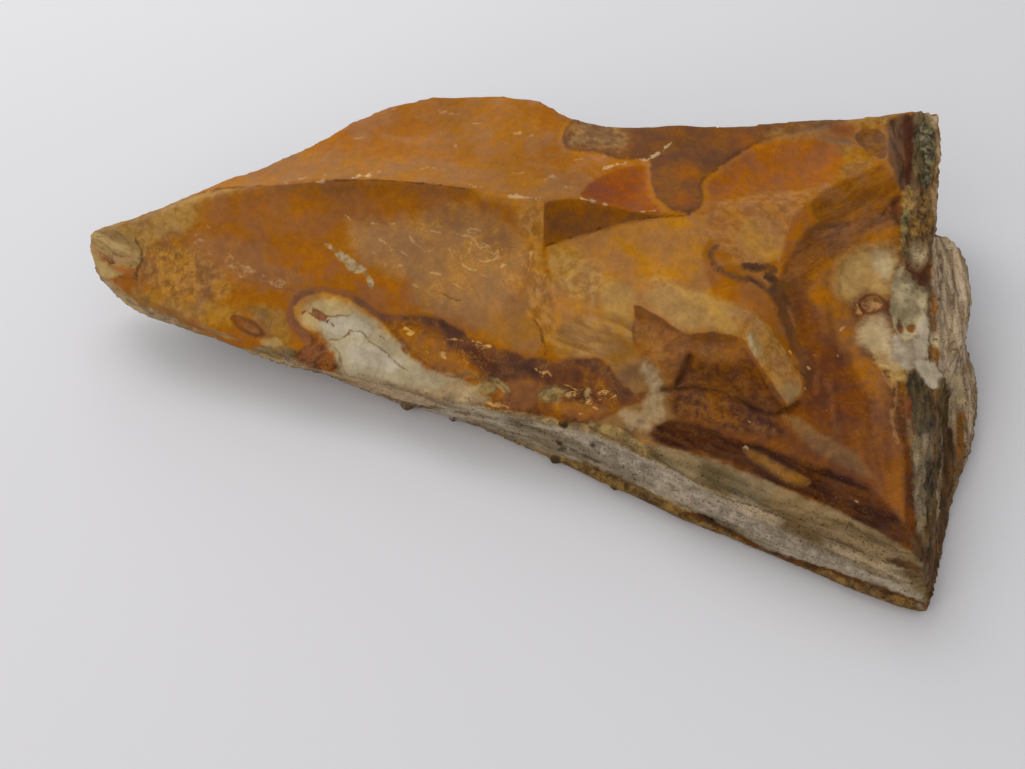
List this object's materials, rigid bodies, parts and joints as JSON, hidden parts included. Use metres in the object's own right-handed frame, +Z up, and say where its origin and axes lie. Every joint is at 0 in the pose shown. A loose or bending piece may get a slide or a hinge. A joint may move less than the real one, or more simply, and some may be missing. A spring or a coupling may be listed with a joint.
{
  "type": "jasper stone",
  "caption": "Broken chunk of bedded jasper: a long wedge with a thin raised tip, a hollow scar along one side and a stepped broad end.",
  "frame": {"origin": "middle of the bounds, on the flat resting face", "axes": "+X along the stone from the thin tip to the broad end, +Y away from the side with the long scar, +Z up"},
  "size_m": [0.282, 0.1626, 0.0623],
  "materials": {
    "jasper": "broken, semi-matt"
  },
  "bodies": {
    "root": {"jasper_stone": "jasper"}
  },
  "joints": []
}
